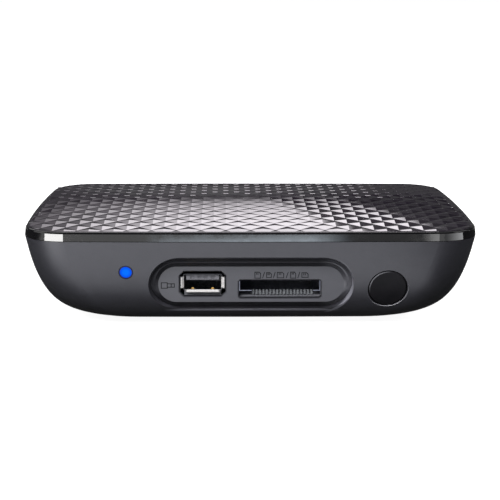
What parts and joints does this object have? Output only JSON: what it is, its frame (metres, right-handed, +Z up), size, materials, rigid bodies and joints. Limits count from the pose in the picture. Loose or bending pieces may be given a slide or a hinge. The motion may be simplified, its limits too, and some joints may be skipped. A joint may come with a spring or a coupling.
{
  "type": "media player box",
  "caption": "Low media player box with a bowl-shaped lower shell, a faceted top plate, a front recess with a plug socket and a card slot, and sockets behind.",
  "frame": {"origin": "under the middle of the box, on the surface that its feet stand on", "axes": "+X to the right seen from the front, +Y to the back, +Z up"},
  "size_m": [0.156, 0.104, 0.0375],
  "materials": {
    "gloss_cover": "gloss black",
    "diamond_plate": "gloss smoke metallic, faceted",
    "satin_shell": "satin dark grey",
    "smoked_window": "gloss smoked, passes infrared",
    "blue_lens": "clear blue",
    "black_plastic": "moulded",
    "grey_plastic": "moulded",
    "white_plastic": "moulded",
    "yellow_plastic": "moulded",
    "red_plastic": "moulded",
    "bright_steel": "bright",
    "contact_metal": "gilt",
    "board_green": "coated laminate",
    "chip_black": "moulded",
    "can_metal": "satin",
    "anodised": "black anodised",
    "pad_grey": "soft",
    "led_clear": "clear",
    "foot_rubber": "matt"
  },
  "bodies": {
    "housing": {"upper_cover": "gloss_cover", "top_plate": "diamond_plate", "lower_shell": "satin_shell", "port_panel": "satin_shell", "rear_panel": "satin_shell", "ir_window": "smoked_window", "led_lens": "blue_lens", "led_ring": "black_plastic", "card_housing": "black_plastic", "av_jack_block": "black_plastic", "optical_housing": "black_plastic", "network_housing": "black_plastic", "dc_inlet_housing": "black_plastic", "hdmi_insulator": "black_plastic", "ir_receiver": "black_plastic", "reset_switch": "black_plastic", "usb_insulator": "grey_plastic", "av_core_left": "white_plastic", "av_core_video": "yellow_plastic", "av_core_right": "red_plastic", "usb_shell": "bright_steel", "card_cover": "bright_steel", "hdmi_shell": "bright_steel", "crystal": "bright_steel", "av_sleeve_video": "bright_steel", "av_sleeve_left": "bright_steel", "av_sleeve_right": "bright_steel", "dc_inlet_pin": "bright_steel", "case_screws": "bright_steel", "board_screws": "bright_steel", "usb_contacts": "contact_metal", "card_contacts": "contact_metal", "network_contacts": "contact_metal", "main_board": "board_green", "player_chip": "chip_black", "memory_chip_1": "chip_black", "memory_chip_2": "chip_black", "flash_chip": "chip_black", "power_regulator": "chip_black", "power_coils": "chip_black", "capacitors": "can_metal", "heat_sink": "anodised", "thermal_pad": "pad_grey", "status_led": "led_clear", "optical_emitter": "led_clear", "foot_front_left": "foot_rubber", "foot_front_right": "foot_rubber", "foot_back_left": "foot_rubber", "foot_back_right": "foot_rubber"},
    "shutter": {"optical_shutter": "black_plastic"},
    "reset": {"reset_button": "white_plastic", "reset_plunger": "white_plastic"}
  },
  "joints": [
    {"name": "shutter_hinge", "type": "hinge", "parent": "housing", "child": "shutter", "pos_m": [-0.004, 0.04245, 0.0183], "axis": [-1, 0, 0], "range_deg": [0, 80], "stiffness_Nm_per_rad": 0.0001, "springref_deg": -34.38},
    {"name": "reset_press", "type": "slide", "parent": "housing", "child": "reset", "axis": [0, -1, 0], "range_m": [0, 0.0003], "stiffness_N_per_m": 200, "springref_m": -0.0005}
  ]
}
